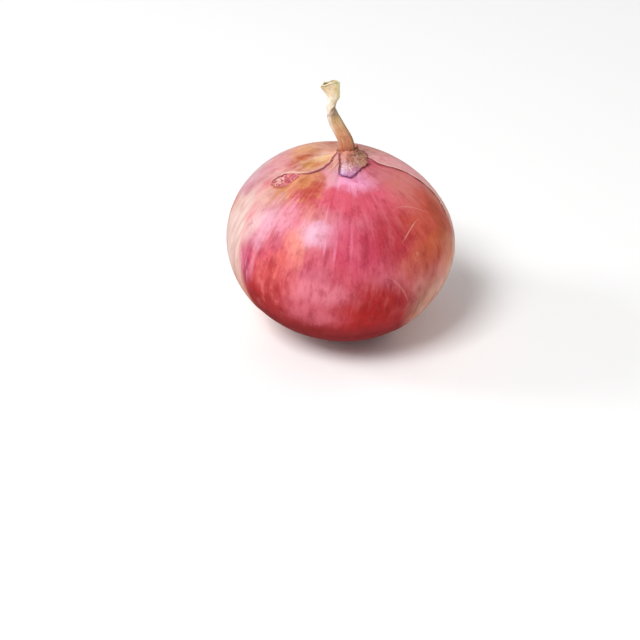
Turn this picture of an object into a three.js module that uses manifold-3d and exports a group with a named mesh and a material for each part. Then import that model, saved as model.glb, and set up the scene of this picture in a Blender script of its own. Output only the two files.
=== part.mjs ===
// A round pink shallot with its dried leaf, standing on its root plate with a slight lean.
// Lengths are millimetres and angles are degrees. Everything is shaped in the bulb's own
// upright frame: Z runs from the root end to the neck, and a place on the skin is a turn
// about that axis (0 towards +X) and a fall from the neck (0) to the root end (180).
import * as THREE from 'three';
import { mergeVertices } from 'three/addons/utils/BufferGeometryUtils.js';
import Module from 'manifold-3d';

const wasm = await Module();
wasm.setup();

// Driving dimensions of the bulb.
const bulbWidth = 50;
const crownHeight = 20.1; // widest level up to the crown, without the neck
const bellyHeight = 20.05; // widest level down to the root end, without its hollow
const fullness = 0.97; // under 1 is fuller than an ellipse
const lean = 8; // towards +X
const lobeHeight = 0.15; // how far the layers inside show as broad swellings
const neckRise = 2.2;
const neckSpread = 3;
const neckDrift = -1.6; // the neck has grown off the middle, towards -X
const rootHollow = 2.8;
const rootHollowSpread = 4.6;
const restingFlat = 0.35; // depth pressed flat where the belly meets the floor

// The other pieces.
const gap = 0.3; // kept between pieces that touch
const skinThickness = 0.6;
const skinProud = 0.15; // how far the outer skin stands out of the bulb it wraps
const leafThickness = 1.9;
const collarThickness = 0.6;
const collarStand = 1.1; // height of the torn rim round the leaf
const rootDiameter = 0.55;
const rootCount = 26;
const plateRadius = 3.7;
const floorReach = 60;

// Mesh fineness.
const bulbSides = 54;
const bulbRows = 32;
const skinColumns = 26;
const skinRows = 36;
const leafSides = 14;
const leafRows = 26;
const collarColumns = 24;
const collarRows = 6;
const rootSides = 6;
const rootRows = 4;

const halfWidth = bulbWidth / 2;
const radians = THREE.MathUtils.degToRad;
const mix = THREE.MathUtils.lerp;
const up = new THREE.Vector3(0, 0, 1);
const depthAxis = new THREE.Vector3(0, 1, 0);

// ---------------------------------------------------------------- the bulb's surface

// The point of the bulb's surface at a turn and a fall, both in radians.
function surfacePoint(turn, fall) {
  const level = Math.cos(fall);
  const lobes = lobeHeight * (Math.cos(2 * turn + 0.6) + Math.cos(3 * turn - 0.4)) * Math.sin(fall);
  const radius = halfWidth * Math.pow(Math.abs(Math.sin(fall)), fullness) + lobes;
  const neck = neckRise * Math.exp(-((radius / neckSpread) ** 2));
  const hollow = rootHollow * Math.exp(-((radius / rootHollowSpread) ** 2));
  const height = level > 0 ? crownHeight * level + neck : bellyHeight * level + hollow;
  const drift = neckDrift * Math.max(level, 0) ** 3;
  return new THREE.Vector3(radius * Math.cos(turn) + drift, radius * Math.sin(turn), height);
}

// The direction straight out of the surface: across its slope down and its slope round.
function outwardAt(turn, fall) {
  const step = 0.004;
  if (Math.sin(fall) < step) return new THREE.Vector3(0, 0, Math.sign(Math.cos(fall)));
  const down = surfacePoint(turn, fall + step).sub(surfacePoint(turn, fall - step));
  const round = surfacePoint(turn + step, fall).sub(surfacePoint(turn - step, fall));
  return down.cross(round).normalize();
}

// A point of the surface moved straight out by a lift.
function skinPoint(turn, fall, lift) {
  return surfacePoint(turn, fall).addScaledVector(outwardAt(turn, fall), lift);
}

// The fall at which the belly has the given radius.
function bellyFall(radius) {
  return Math.PI - Math.asin((radius / halfWidth) ** (1 / fullness));
}

// ---------------------------------------------------------------- meshes and solids

// Moves each vertex of a geometry to where the formula puts it.
function reshape(geometry, formula) {
  const places = geometry.attributes.position;
  for (let i = 0; i < places.count; i += 1) {
    const place = new THREE.Vector3().fromBufferAttribute(places, i);
    places.setXYZ(i, ...formula(place));
  }
  return geometry;
}

function solidOf(geometry) {
  const bare = geometry.clone();
  bare.deleteAttribute('normal');
  bare.deleteAttribute('uv');
  const merged = mergeVertices(bare, 1e-4);
  const corners = merged.index.array;
  const kept = [];
  for (let i = 0; i < corners.length; i += 3) {
    const [a, b, c] = corners.slice(i, i + 3);
    if (a !== b && b !== c && c !== a) kept.push(a, b, c);
  }
  const vertProperties = new Float32Array(merged.attributes.position.array);
  const triVerts = new Uint32Array(kept);
  return new wasm.Manifold(new wasm.Mesh({ numProp: 3, vertProperties, triVerts }));
}

function geometryOf(solid) {
  const { vertProperties, triVerts } = solid.getMesh();
  const geometry = new THREE.BufferGeometry();
  geometry.setAttribute('position', new THREE.BufferAttribute(vertProperties, 3));
  geometry.setIndex(new THREE.BufferAttribute(triVerts, 1));
  geometry.computeVertexNormals();
  return geometry;
}

// The largest body of a solid, without the scraps that a cut leaves.
function largestOf(solid) {
  const bodies = solid.decompose();
  return bodies.reduce((a, b) => (a.volume() > b.volume() ? a : b));
}

// ---------------------------------------------------------------- how it stands

// Height of the bulb's middle over the floor: down to the belly's lowest point, less the flat.
function standingHeight() {
  const rotation = new THREE.Matrix4().makeRotationY(radians(lean));
  let lowest = 0;
  for (let fall = 90; fall <= 180; fall += 0.5) {
    const place = surfacePoint(0, radians(fall)).applyMatrix4(rotation);
    lowest = Math.min(lowest, place.z);
  }
  return -lowest - restingFlat;
}

const middleHeight = standingHeight();
const shallot = new THREE.Group();
shallot.rotation.y = radians(lean);
shallot.position.set(middleHeight * Math.tan(radians(lean)), 0, middleHeight);
shallot.updateMatrixWorld(true);

// Everything under the floor, seen from the bulb's own frame.
function underFloor() {
  const slab = new THREE.BoxGeometry(floorReach, floorReach, floorReach / 2);
  slab.translate(0, 0, -floorReach / 4);
  return solidOf(slab.applyMatrix4(shallot.matrixWorld.clone().invert()));
}

// ---------------------------------------------------------------- the outer skin

// Its two torn edges as [turn, fall], from the neck down: over the right shoulder and
// round the right side, and down the left side. The skin wraps the back between them.
const rightTear = [
  [22, 10.8], [10, 14], [8, 19], [11, 25], [10, 33], [8, 42], [7, 50], [3, 57],
  [-5, 63], [-14, 68], [-24, 71.5], [-34, 75], [-44, 78.5], [-53, 83], [-57, 91], [-54, 103],
  [-50, 120], [-46, 136], [-44, 148],
];
const leftTear = [
  [218, 10.8], [221, 14], [220, 19], [209, 25], [199, 33], [194.5, 42], [189, 50], [185, 57],
  [190, 63], [198, 68], [204, 71.5], [208, 75], [211, 78.5], [213, 83], [216, 91], [219, 103],
  [221, 120], [220, 136], [218, 148],
];

function tearCurve(points) {
  return new THREE.SplineCurve(points.map(([turn, fall]) => new THREE.Vector2(radians(turn), radians(fall))));
}

const rightCurve = tearCurve(rightTear);
const leftCurve = tearCurve(leftTear);

// A torn edge's point, moved sideways out of the skin by a margin in millimetres.
function tearPoint(curve, along, margin) {
  const place = curve.getPoint(along);
  const girth = halfWidth * Math.sin(place.y);
  const tangent = curve.getTangent(along);
  const run = new THREE.Vector2(tangent.x * girth, tangent.y * halfWidth).normalize();
  const spread = curve === rightCurve ? -margin : margin;
  const endGrowth = margin * (2 * along - 1);
  const turn = place.x + (run.y * spread) / girth;
  const fall = place.y + (-run.x * spread + endGrowth) / halfWidth;
  return new THREE.Vector2(turn, fall);
}

// The sheet between the two tears, from one lift to another, grown by a margin all round.
function wrapSheet(innerLift, outerLift, margin) {
  const slab = new THREE.BoxGeometry(1, 1, 1, skinColumns, skinRows, 1);
  return reshape(slab, ({ x, y, z }) => {
    const along = 0.5 - y;
    const right = tearPoint(rightCurve, along, margin);
    const left = tearPoint(leftCurve, along, margin);
    const turn = mix(right.x, left.x, x + 0.5);
    const ragged = radians(1.6 * Math.sin(5 * turn) + Math.sin(11 * turn)) * along ** 8;
    const fall = mix(right.y, left.y, x + 0.5) + ragged;
    return skinPoint(turn, fall, mix(innerLift, outerLift, z + 0.5));
  });
}

function outerSkin() {
  return wrapSheet(skinProud - skinThickness, skinProud, 0);
}

// The bed that the skin lies in, cut out of the bulb with a gap all round.
function skinBed() {
  return wrapSheet(skinProud - skinThickness - gap, 2 * skinThickness, gap);
}

// ---------------------------------------------------------------- the dried leaf

// Its middle line, its width and its twist, from inside the neck up to the open tip.
const leafPath = new THREE.CatmullRomCurve3([
  new THREE.Vector3(-1.6, 0, 20.2),
  new THREE.Vector3(-1.85, 0, 22),
  new THREE.Vector3(-2.35, 0, 24.2),
  new THREE.Vector3(-4, 0.3, 26.8),
  new THREE.Vector3(-5.6, 0.5, 29.2),
  new THREE.Vector3(-6.4, 0.2, 31.5),
  new THREE.Vector3(-6.5, -0.2, 34),
  new THREE.Vector3(-7.1, -0.2, 35.6),
  new THREE.Vector3(-7.5, -0.1, 37.4),
]);
const leafStations = [
  { at: 0, width: 3.5, thickness: 1, twist: 0 },
  { at: 0.2, width: 3.4, thickness: 0.9, twist: 0 },
  { at: 0.42, width: 3.1, thickness: 0.75, twist: 0 },
  { at: 0.52, width: 3.1, thickness: 0.75, twist: 22 },
  { at: 0.65, width: 2.9, thickness: 0.8, twist: 86 },
  { at: 0.8, width: 3.3, thickness: 0.7, twist: 146 },
  { at: 0.94, width: 3.9, thickness: 0.75, twist: 174 },
  { at: 1, width: 3.5, thickness: 0.6, twist: 180 },
];

function leafAt(along, key) {
  const upper = Math.max(1, leafStations.findIndex((station) => station.at >= along));
  const [a, b] = [leafStations[upper - 1], leafStations[upper]];
  return mix(a[key], b[key], THREE.MathUtils.smoothstep(along, a.at, b.at));
}

// A flattened tube, grown by a margin, that follows the path and turns over once.
function driedLeaf(margin) {
  const outline = new THREE.Shape().absellipse(0, 0, 1, 1, 0, 2 * Math.PI);
  const settings = { depth: 1, steps: leafRows, bevelEnabled: false, curveSegments: leafSides / 2 };
  const tube = new THREE.ExtrudeGeometry(outline, settings);
  return reshape(tube, ({ x, y, z }) => {
    const centre = leafPath.getPointAt(z);
    const tangent = leafPath.getTangentAt(z);
    const across = depthAxis.clone().cross(tangent).normalize();
    const deep = tangent.clone().cross(across);
    const twist = radians(leafAt(z, 'twist'));
    const halfLeaf = leafAt(z, 'width') / 2 + margin;
    const halfDepth = (leafThickness * leafAt(z, 'thickness')) / 2 + margin;
    const side = x * halfLeaf * Math.cos(twist) - y * halfDepth * Math.sin(twist);
    const front = x * halfLeaf * Math.sin(twist) + y * halfDepth * Math.cos(twist);
    const end = (2 * z - 1) * margin;
    return centre.addScaledVector(across, side).addScaledVector(deep, front).addScaledVector(tangent, end);
  });
}

// ---------------------------------------------------------------- the torn collar

// The fall of its lower edge at each turn. It hangs in a tongue at the front.
const collarHem = new THREE.SplineCurve([
  new THREE.Vector2(-150, 6), new THREE.Vector2(-122, 8.5), new THREE.Vector2(-108, 13.8),
  new THREE.Vector2(-96, 15.1), new THREE.Vector2(-84, 15.2), new THREE.Vector2(-72, 12.4),
  new THREE.Vector2(-52, 9.9), new THREE.Vector2(-30, 9.7), new THREE.Vector2(-10, 9.6),
  new THREE.Vector2(14, 8.2), new THREE.Vector2(45, 9.2), new THREE.Vector2(80, 8), new THREE.Vector2(120, 8.6),
]);
const collarTopFall = 5.4; // where it leaves the shoulder and stands up round the leaf
const collarFold = 0.4; // share of its height that stands up

function neckCollar() {
  const slab = new THREE.BoxGeometry(1, 1, 1, collarColumns, collarRows, 1);
  return reshape(slab, ({ x, y, z }) => {
    const hem = collarHem.getPoint(x + 0.5);
    const turn = radians(hem.x);
    const along = y + 0.5;
    const shoulder = Math.min(along / (1 - collarFold), 1);
    const stand = Math.max(along - (1 - collarFold), 0) / collarFold;
    const fall = radians(mix(hem.y, collarTopFall, shoulder));
    const place = skinPoint(turn, fall, gap + (z + 0.5) * collarThickness * (1 - stand));
    const outward = new THREE.Vector3(Math.cos(turn), Math.sin(turn), 0);
    const ragged = 1 + 0.3 * Math.cos(3 * turn + 1) + 0.2 * Math.cos(7 * turn);
    place.addScaledVector(outward, (z + 0.5) * collarThickness * stand);
    return place.addScaledVector(up, stand * collarStand * ragged);
  });
}

// ---------------------------------------------------------------- the root plate and roots

// A small repeatable random draw between 0 and 1.
function makeDraw(seed) {
  let state = seed;
  return () => {
    state = (state * 16807) % 2147483647;
    return state / 2147483647;
  };
}

// One root: out from under the plate, along the belly, with a slight wave.
function rootStrand(turn, reach, draw) {
  const sway = radians(mix(-14, 14, draw()));
  const points = [0.2, 0.5, 0.8, 1].map((along) => {
    const radius = mix(plateRadius * 0.45, reach, along);
    const hang = gap + rootDiameter / 2 + 0.04 + mix(0, 0.35, draw());
    const bend = turn + sway * along * along;
    return skinPoint(bend, bellyFall(radius), hang);
  });
  const outline = new THREE.Shape().absellipse(0, 0, rootDiameter / 2, rootDiameter / 2, 0, 2 * Math.PI);
  const extrudePath = new THREE.CatmullRomCurve3(points);
  const settings = { steps: rootRows, extrudePath, bevelEnabled: false, curveSegments: rootSides / 2 };
  return solidOf(new THREE.ExtrudeGeometry(outline, settings));
}

function roots() {
  const draw = makeDraw(4907);
  const plate = new THREE.CylinderGeometry(plateRadius, plateRadius, bellyHeight, 28);
  let solid = solidOf(plate.rotateX(Math.PI / 2).translate(0, 0, -bellyHeight));
  for (let i = 0; i < rootCount; i += 1) {
    const turn = radians((360 * i) / rootCount + mix(-5, 5, draw()));
    const lifted = 0.5 - 0.5 * Math.cos(turn); // 0 on the leaned side, 1 on the raised one
    const reach = mix(5.2, 9.4, lifted) + mix(-0.5, 1, draw()) * lifted;
    solid = solid.add(rootStrand(turn, reach, draw));
  }
  const ceiling = solidOf(bulbShape(gap));
  return largestOf(solid.subtract(ceiling).subtract(underFloor()));
}

// ---------------------------------------------------------------- the bulb

// The whole bulb with its surface moved out by a lift. Rows are closer at both ends.
function bulbShape(lift) {
  const profile = [];
  for (let row = 0; row <= bulbRows; row += 1) {
    const share = 1 - row / bulbRows;
    const fall = Math.PI * share - 0.28 * Math.sin(2 * Math.PI * share);
    profile.push(new THREE.Vector2(Math.abs(Math.sin(fall)), Math.cos(fall)));
  }
  const ball = new THREE.LatheGeometry(profile, bulbSides).rotateX(Math.PI / 2);
  return reshape(ball, ({ x, y, z }) => skinPoint(Math.atan2(y, x), Math.atan2(Math.hypot(x, y), z), lift));
}

function bulb() {
  const whole = solidOf(bulbShape(0));
  const bedded = whole.subtract(solidOf(skinBed())).subtract(solidOf(driedLeaf(gap)));
  return largestOf(bedded.subtract(underFloor()));
}

// ---------------------------------------------------------------- the whole shallot

function addPiece(name, geometry, color, roughness) {
  const material = new THREE.MeshStandardMaterial({ color, roughness, metalness: 0 });
  const mesh = new THREE.Mesh(geometry, material);
  mesh.name = name;
  shallot.add(mesh);
}

const collar = solidOf(neckCollar()).subtract(solidOf(driedLeaf(gap)));
addPiece('bulb', geometryOf(bulb()), 0xc8506a, 0.35);
addPiece('outer_skin', geometryOf(solidOf(outerSkin())), 0xdc8c7c, 0.45);
addPiece('dry_leaf', geometryOf(solidOf(driedLeaf(0))), 0xd8a878, 0.75);
addPiece('neck_collar', geometryOf(largestOf(collar)), 0xa0708c, 0.8);
addPiece('roots', geometryOf(roots()), 0xc8a070, 0.9);

const part = new THREE.Group();
part.add(shallot);
export default part;
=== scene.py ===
# %% [markdown]
# # A round pink shallot
# This lesson dresses the solid model of a shallot bulb: its glossy living skin, the torn papery
# skin round it, the dried leaf and the crumbly collar at its neck, and the dry roots under it.
# The solids are loaded first, as a frame that never moves. Every new piece is then made at its
# real size in that frame, so that nothing has to be fitted afterwards.

# %% Load the solids
import math

import bpy
import numpy as np
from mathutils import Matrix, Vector, noise


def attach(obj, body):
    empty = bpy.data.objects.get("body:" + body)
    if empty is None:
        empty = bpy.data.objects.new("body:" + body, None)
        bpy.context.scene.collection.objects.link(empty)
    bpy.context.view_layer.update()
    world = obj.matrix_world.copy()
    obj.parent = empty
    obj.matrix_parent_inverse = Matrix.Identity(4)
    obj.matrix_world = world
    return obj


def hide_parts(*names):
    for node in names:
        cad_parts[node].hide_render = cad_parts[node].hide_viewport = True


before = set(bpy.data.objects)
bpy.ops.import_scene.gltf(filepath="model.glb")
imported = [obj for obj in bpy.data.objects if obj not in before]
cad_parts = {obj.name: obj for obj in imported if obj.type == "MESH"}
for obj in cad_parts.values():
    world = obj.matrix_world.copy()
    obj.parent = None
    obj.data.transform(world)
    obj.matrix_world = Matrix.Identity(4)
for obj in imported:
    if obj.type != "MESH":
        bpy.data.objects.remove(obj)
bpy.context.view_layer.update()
bpy.ops.object.select_all(action="DESELECT")
print("nodes:", sorted(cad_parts))

# %% [markdown]
# ## The bulb's own frame
# A bulb grows round an axis, so each place on its skin is easiest to name by two angles: the
# turn about that axis, and the fall from the neck (0) down to the root end (180). The form is a
# formula of those angles. Shapes could also be placed by hand in x, y and z, but then a tear or
# a vein that follows the skin would need its height worked out every time. The formula works in
# millimetres, upright; one last step leans the bulb, lifts it onto the floor and turns the
# lengths into metres.

# %% The driving dimensions, in millimetres and degrees
MM = 0.001
bulb_width = 50.0
half_width = bulb_width / 2
crown_height = 20.1
belly_height = 20.05
fullness = 0.97
lean = math.radians(8)
lobe_height, two_lobe_turn, three_lobe_turn = 0.15, 0.6, -0.4
neck_rise, neck_spread, neck_drift = 2.2, 3.0, -1.6
root_hollow, root_hollow_spread = 2.8, 4.6
resting_flat = 0.35
print("bulb", bulb_width, "mm wide,", crown_height + belly_height, "mm from crown to root end")


# %% Places on the bulb's surface
def surface_point(turn, fall):
    """The surface at each turn and fall, in radians, as rows of x, y and z in millimetres."""
    level = np.cos(fall)
    lobes = np.cos(2 * turn + two_lobe_turn) + np.cos(3 * turn + three_lobe_turn)
    lobes = lobe_height * lobes * np.sin(fall)
    radius = half_width * np.abs(np.sin(fall)) ** fullness + lobes
    crown = crown_height * level + neck_rise * np.exp(-((radius / neck_spread) ** 2))
    belly = belly_height * level + root_hollow * np.exp(-((radius / root_hollow_spread) ** 2))
    drift = neck_drift * np.maximum(level, 0) ** 3
    across, deep = radius * np.cos(turn) + drift, radius * np.sin(turn)
    return np.stack([across, deep, np.where(level > 0, crown, belly)], axis=-1)


def outward_at(turn, fall):
    """The direction straight out of the surface."""
    step = 0.004
    inner = np.clip(fall, 2 * step, math.pi - 2 * step)
    down = surface_point(turn, inner + step) - surface_point(turn, inner - step)
    round_it = surface_point(turn + step, inner) - surface_point(turn - step, inner)
    out = np.cross(down, round_it)
    return out / np.linalg.norm(out, axis=-1, keepdims=True)


def skin_point(turn, fall, lift):
    """The surface moved straight out by a lift in millimetres."""
    return surface_point(turn, fall) + outward_at(turn, fall) * np.asarray(lift)[..., None]


fall_steps = np.radians(np.arange(90, 180.1, 0.5))
low_side = surface_point(np.zeros_like(fall_steps), fall_steps)
lowest = (low_side[:, 2] * math.cos(lean) - low_side[:, 0] * math.sin(lean)).min()
middle_height = -lowest - resting_flat
middle_shift = middle_height * math.tan(lean)
print("the bulb's middle stands", round(middle_height, 2), "mm over the floor")


def stand_up(points):
    """Leans rows of points, sets them on the floor and gives them in metres."""
    x, y, z = points[..., 0], points[..., 1], points[..., 2]
    leaned_x = x * math.cos(lean) + z * math.sin(lean) + middle_shift
    leaned_z = z * math.cos(lean) - x * math.sin(lean) + middle_height
    return np.stack([leaned_x, y, np.maximum(leaned_z, 0)], axis=-1) * MM


# %% [markdown]
# ## Helpers for nodes
# Every finish, and the light of the room, is a network of nodes. The helpers below add one node
# and give back its output, so that a finish reads as a list of what is laid over what. Colours
# are written as a painter's hex values and turned into the linear light that the shader uses.

# %% Nodes in one line each
value_outputs = ("LENGTH", "DISTANCE", "DOT_PRODUCT")


def colour(code):
    """A hex colour as linear red, green, blue and alpha."""
    parts = [int(code[i:i + 2], 16) / 255 for i in (1, 3, 5)]
    return [c / 12.92 if c <= 0.04045 else ((c + 0.055) / 1.055) ** 2.4 for c in parts] + [1.0]


class Network:
    """The nodes of a material or a world: each method adds a node and gives its output."""

    def __init__(self, owner):
        owner.use_nodes = True
        self.owner, self.tree = owner, owner.node_tree

    def plug(self, value, socket):
        if isinstance(value, bpy.types.NodeSocket):
            self.tree.links.new(value, socket)
        else:
            socket.default_value = value

    def node(self, kind, values, **settings):
        made = self.tree.nodes.new("ShaderNode" + kind)
        for name, setting in settings.items():
            setattr(made, name, setting)
        for key, value in values.items():
            self.plug(value, made.inputs[key])
        return made

    def stored(self, name, output="Fac"):
        return self.node("Attribute", {}, attribute_name=name).outputs[output]

    def calc(self, operation, first, second=0.0):
        return self.node("Math", {0: first, 1: second}, operation=operation).outputs[0]

    def vector(self, operation, first, second=(0, 0, 0)):
        made = self.node("VectorMath", {0: first, 1: second}, operation=operation)
        return made.outputs["Value" if operation in value_outputs else "Vector"]

    def part(self, vector, axis):
        return self.node("SeparateXYZ", {0: vector}).outputs[axis]

    def span(self, value, start, end, low=0.0, high=1.0):
        """Smoothly low at the start and high at the end, and level beyond both."""
        values = {0: value, 1: start, 2: end, 3: low, 4: high}
        return self.node("MapRange", values, interpolation_type="SMOOTHSTEP").outputs[0]

    def noise(self, vector, detail=3.0, roughness=0.55, distortion=0.0):
        values = {"Vector": vector, "Scale": 1.0, "Detail": detail, "Roughness": roughness,
                  "Distortion": distortion}
        return self.node("TexNoise", values).outputs[0]

    def noise_way(self, vector, detail):
        """Noise as a direction, from -0.5 to 0.5 each way."""
        made = self.node("TexNoise", {"Vector": vector, "Scale": 1.0, "Detail": detail})
        return self.vector("SUBTRACT", made.outputs["Color"], (0.5, 0.5, 0.5))

    def stretch(self, vector, scale, shift=(0, 0, 0)):
        return self.vector("ADD", self.vector("MULTIPLY", vector, scale), shift)

    def grain(self, scale, shift=(0, 0, 0), *texture):
        """Noise in the bulb's own space: how many swellings to the metre each way."""
        body = self.node("TexCoord", {}).outputs["Object"]
        return self.noise(self.stretch(body, scale, shift), *texture)

    def blend(self, share, under, over, kind="MIX"):
        values = {0: share, 6: under, 7: over}
        return self.node("Mix", values, data_type="RGBA", blend_type=kind).outputs[2]

    def both(self, *shares):
        product = shares[0]
        for share in shares[1:]:
            product = self.calc("MULTIPLY", product, share)
        return product

    def without(self, share, strength=1.0):
        """1 where the share is 0, and less by the strength where it is 1."""
        return self.calc("SUBTRACT", 1, self.calc("MULTIPLY", share, strength))

    def lay(self, under, measures, layers):
        """Lays colours over one another. A layer shows where each of its rules is high: the name
        of a measure, or a span of one, with its name and from where to where it grows."""
        for code, kind, strength, *rules in layers:
            shares = [measures[rule] if isinstance(rule, str) else self.span(measures[rule[0]], *rule[1:])
                      for rule in rules]
            under = self.blend(self.both(*shares, strength), under, colour(code), kind)
        return under

    def relief(self, height, distance_mm, strength, under=None):
        values = {"Height": height, "Distance": distance_mm * MM, "Strength": strength}
        if under is not None:
            values["Normal"] = under
        return self.node("Bump", values).outputs[0]

    def finish(self, base, roughness, normal=None, **constants):
        """Plugs the colour, roughness and relief into the surface, and gives the material."""
        surface = self.tree.nodes["Principled BSDF"].inputs
        self.plug(base, surface["Base Color"])
        self.plug(roughness, surface["Roughness"])
        if normal is not None:
            self.plug(normal, surface["Normal"])
        for name, value in constants.items():
            surface[name.replace("_", " ")].default_value = value
        return self.owner


def new_finish(name):
    return Network(bpy.data.materials.new(name))

# %% [markdown]
# ## Camera, floor and light
# A long lens from a little above shows the shoulder, the neck and the belly at once, with the
# floor as the whole background. The camera could be placed by eye, but three measures fix it
# better: how steeply it looks down on the bulb's middle, how large that middle stands in the
# picture, and where in the picture it is.

# %% The camera
picture_side = 640.0
sensor_width, lens = 36.0, 80.0
focal_pixels = lens / sensor_width * picture_side
pixels_per_mm = 4.592
middle_in_picture = (341.0, 240.7)
look_down = math.radians(31.7)


def add_camera():
    back = Vector((0, -math.cos(look_down), math.sin(look_down)))
    middle = Vector((middle_shift, 0, middle_height)) * MM
    distance = focal_pixels / pixels_per_mm * MM
    aside = (middle_in_picture[0] - picture_side / 2) / focal_pixels
    above = (picture_side / 2 - middle_in_picture[1]) / focal_pixels
    level_view = (-back).to_track_quat("-Z", "Y")
    offset = Vector((aside, above, -1)).rotation_difference(Vector((0, 0, -1)))
    data = bpy.data.cameras.new("picture_camera")
    data.sensor_width, data.lens = sensor_width, lens
    data.clip_start, data.clip_end = 0.01, 20
    camera = bpy.data.objects.new("picture_camera", data)
    bpy.context.collection.objects.link(camera)
    camera.rotation_mode = "QUATERNION"
    camera.location = middle + back * distance
    camera.rotation_quaternion = level_view @ offset
    bpy.context.scene.camera = camera
    return camera


camera = add_camera()
print("camera", round(camera.location.length * 1000), "mm from the origin")

# %% [markdown]
# A skin this glossy shows what lights it. One large soft lamp up to the left gives the broad
# pale sheen on the near shoulder, a second one further round gives the sheen at the left, and a
# bright even room fills the shadows. Small hard lamps would leave pinpoint highlights, which
# make a bulb look like plastic.

# %% Lamps and the room
bpy.context.scene.view_settings.view_transform = "Standard"


def add_softbox(name, place, width, height, power, in_gloss):
    """A rectangular lamp at a place in metres, turned to face the bulb."""
    data = bpy.data.lights.new(name, "AREA")
    data.shape, data.size, data.size_y, data.energy = "RECTANGLE", width, height, power
    lamp = bpy.data.objects.new(name, data)
    bpy.context.collection.objects.link(lamp)
    aim = Vector((middle_shift, 0, middle_height)) * MM - Vector(place)
    lamp.location, lamp.visible_glossy = place, in_gloss
    lamp.rotation_euler = aim.to_track_quat("-Z", "Y").to_euler()


lamps = [  # name, place in metres, width, height, power, whether it shows in the gloss
    ("key_softbox", (-0.30, -0.345, 0.67), 0.33, 0.30, 4.7, True),
    ("left_softbox", (-0.74, 0.13, 0.37), 0.22, 0.36, 2.2, True),
    ("rim_softbox", (0.52, 0.56, 0.20), 0.40, 0.40, 1.5, False),
]
for lamp in lamps:
    add_softbox(*lamp)

horizon_glow = (-0.30, 0.05, 0.08, 0.36)  # from and to how high, then the light below and above
back_glow = (0.45, 0.85, 0, 0.34)  # the same, for the part under the horizon behind the bulb


def add_room():
    """An even white room, dim under the horizon save behind the bulb, which shows only in the gloss."""
    room = Network(bpy.data.worlds.new("bright_room"))
    way = room.node("TexCoord", {}).outputs["Generated"]
    rise, depth = room.part(way, "Z"), room.part(way, "Y")
    behind = room.both(room.span(depth, *back_glow), room.calc("LESS_THAN", rise, 0))
    strength = room.calc("MAXIMUM", room.span(rise, *horizon_glow), behind)
    background = room.tree.nodes["Background"].inputs
    room.plug(strength, background["Strength"])
    background["Color"].default_value = (1, 1, 1, 1)
    bpy.context.scene.world = room.owner


add_room()


# %% The floor
floor_grey, floor_roughness = 0.98, 0.8


def add_floor():
    bpy.ops.mesh.primitive_plane_add(size=8)
    floor = bpy.context.object
    floor.name = "floor"
    paint = new_finish("pale_floor")
    floor.data.materials.append(paint.finish((floor_grey, floor_grey, floor_grey, 1), floor_roughness))
    floor.visible_glossy = False


add_floor()


# %% [markdown]
# ## Helpers for shaping
# Torn edges and the leaf's path are smooth lines through a few given points. Papery and crumbly
# surfaces need small uneven swellings, which come from noise in the bulb's own space. Each piece
# starts as a primitive with enough faces, its vertices are read into an array, moved by the
# piece's own formula, and written back.

# %% Lines through points, noise, and meshes as arrays
def through(points, share):
    """The smooth line through points, at shares from 0 to 1."""
    stops = np.array(points, dtype=float)
    place = np.clip(share, 0, 1) * (len(stops) - 1)
    index = np.minimum(place.astype(int), len(stops) - 2)
    w = (place - index)[..., None]
    before, start = stops[np.maximum(index - 1, 0)], stops[index]
    end, after = stops[index + 1], stops[np.minimum(index + 2, len(stops) - 1)]
    leave, arrive = (end - before) / 2, (after - start) / 2
    cubic = 2 * start - 2 * end + leave + arrive
    square = 3 * end - 3 * start - 2 * leave - arrive
    return cubic * w**3 + square * w**2 + leave * w + start


def rough(points, size, shift=0.0):
    """Smooth noise from -1 to 1 at rows of points, with swellings of about the given size."""
    rows = (np.asarray(points) / size + shift).reshape(-1, 3)
    values = np.array([noise.noise(Vector(row)) for row in rows])
    return values.reshape(np.asarray(points).shape[:-1])


def smooth_step(value, start, end):
    share = np.clip((value - start) / (end - start), 0, 1)
    return share * share * (3 - 2 * share)


def distance_to(points, line, step):
    """How far each point is from a line of points, in millimetres."""
    best = np.full(len(points), 1e9)
    for place in line[::step]:
        best = np.minimum(best, ((points - place) ** 2).sum(axis=1))
    return np.sqrt(best)


def read_vertices(piece):
    flat = np.empty(len(piece.data.vertices) * 3)
    piece.data.vertices.foreach_get("co", flat)
    return flat.reshape(-1, 3)


def new_piece(name):
    """Names the primitive that was just added, and gives it with its vertices."""
    piece = bpy.context.object
    piece.name = name
    return piece, read_vertices(piece)


def keep_values(piece, **values):
    """Stores numbers or vectors for the vertices, by name, for the piece's material to read."""
    for name, rows in values.items():
        rows = np.asarray(rows, dtype=float)
        kind, field = ("FLOAT", "value") if rows.ndim == 1 else ("FLOAT_VECTOR", "vector")
        layer = piece.data.attributes.new(name, kind, "POINT")
        layer.data.foreach_set(field, np.ascontiguousarray(rows).ravel())


def wheel_place(turn, radius=1.0, down=0.0):
    """A point that goes round once with the turn, for noise that shows no seam."""
    return np.stack([radius * np.cos(turn), radius * np.sin(turn), down + 0 * turn], axis=-1)


def waves(points, rows):
    """Several swellings added up; each row is a height, a size and a shift of its pattern."""
    return sum(height * rough(points, size, shift) for height, size, shift in rows)


def bell(distance, width, power=2):
    """1 at a distance of 0, fading out over about the width."""
    return np.exp(-((distance / width) ** power))


def turn_from(turn, middle):
    """The turn from a middle given in degrees, from -pi to pi."""
    away = turn - math.radians(middle)
    return np.arctan2(np.sin(away), np.cos(away))


def skin_place(turn, fall):
    """The place on the bulb: the turn as a point on a circle, and the fall from 0 to 1."""
    return wheel_place(turn, 1.0, fall / math.pi)


def only(piece):
    """Makes one piece the active and only selected object."""
    bpy.ops.object.select_all(action="DESELECT")
    piece.select_set(True)
    bpy.context.view_layer.objects.active = piece


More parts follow.
